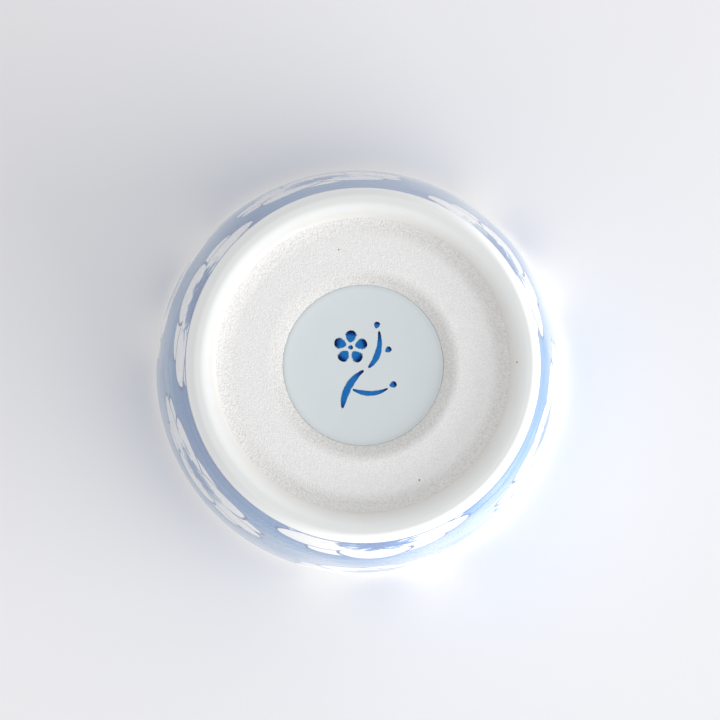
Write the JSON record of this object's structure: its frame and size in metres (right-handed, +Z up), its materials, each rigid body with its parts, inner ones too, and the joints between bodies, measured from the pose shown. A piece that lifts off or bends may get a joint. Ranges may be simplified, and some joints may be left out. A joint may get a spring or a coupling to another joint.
{
  "type": "teacup",
  "caption": "Small flaring porcelain teacup with a glazed foot ring, a recessed bare ring round a glazed medallion, and cobalt blossoms on the wall.",
  "frame": {"origin": "centre of the plane that the foot ring stands on", "axes": "+Z up the cup's axis to the lip; +X and +Y are plain radii"},
  "size_m": [0.08, 0.08, 0.064],
  "materials": {
    "bare_porcelain": "unglazed, fine sandy grain",
    "clear_glaze": "glossy clear glaze over white porcelain",
    "pooled_glaze": "glossy, faintly blue where the glaze pools",
    "cobalt_wash": "streaky underglaze cobalt wash",
    "cobalt_line": "dark underglaze cobalt brush line"
  },
  "bodies": {
    "root": {"base_floor": "bare_porcelain", "foot_ring": "bare_porcelain", "body_wall": "bare_porcelain", "foot_glaze": "clear_glaze", "medallion_glaze": "pooled_glaze", "outer_glaze": "clear_glaze", "inner_glaze": "clear_glaze", "lip_glaze": "clear_glaze", "foot_line": "cobalt_line", "cobalt_ground": "cobalt_wash", "base_mark": "cobalt_line"}
  },
  "joints": []
}
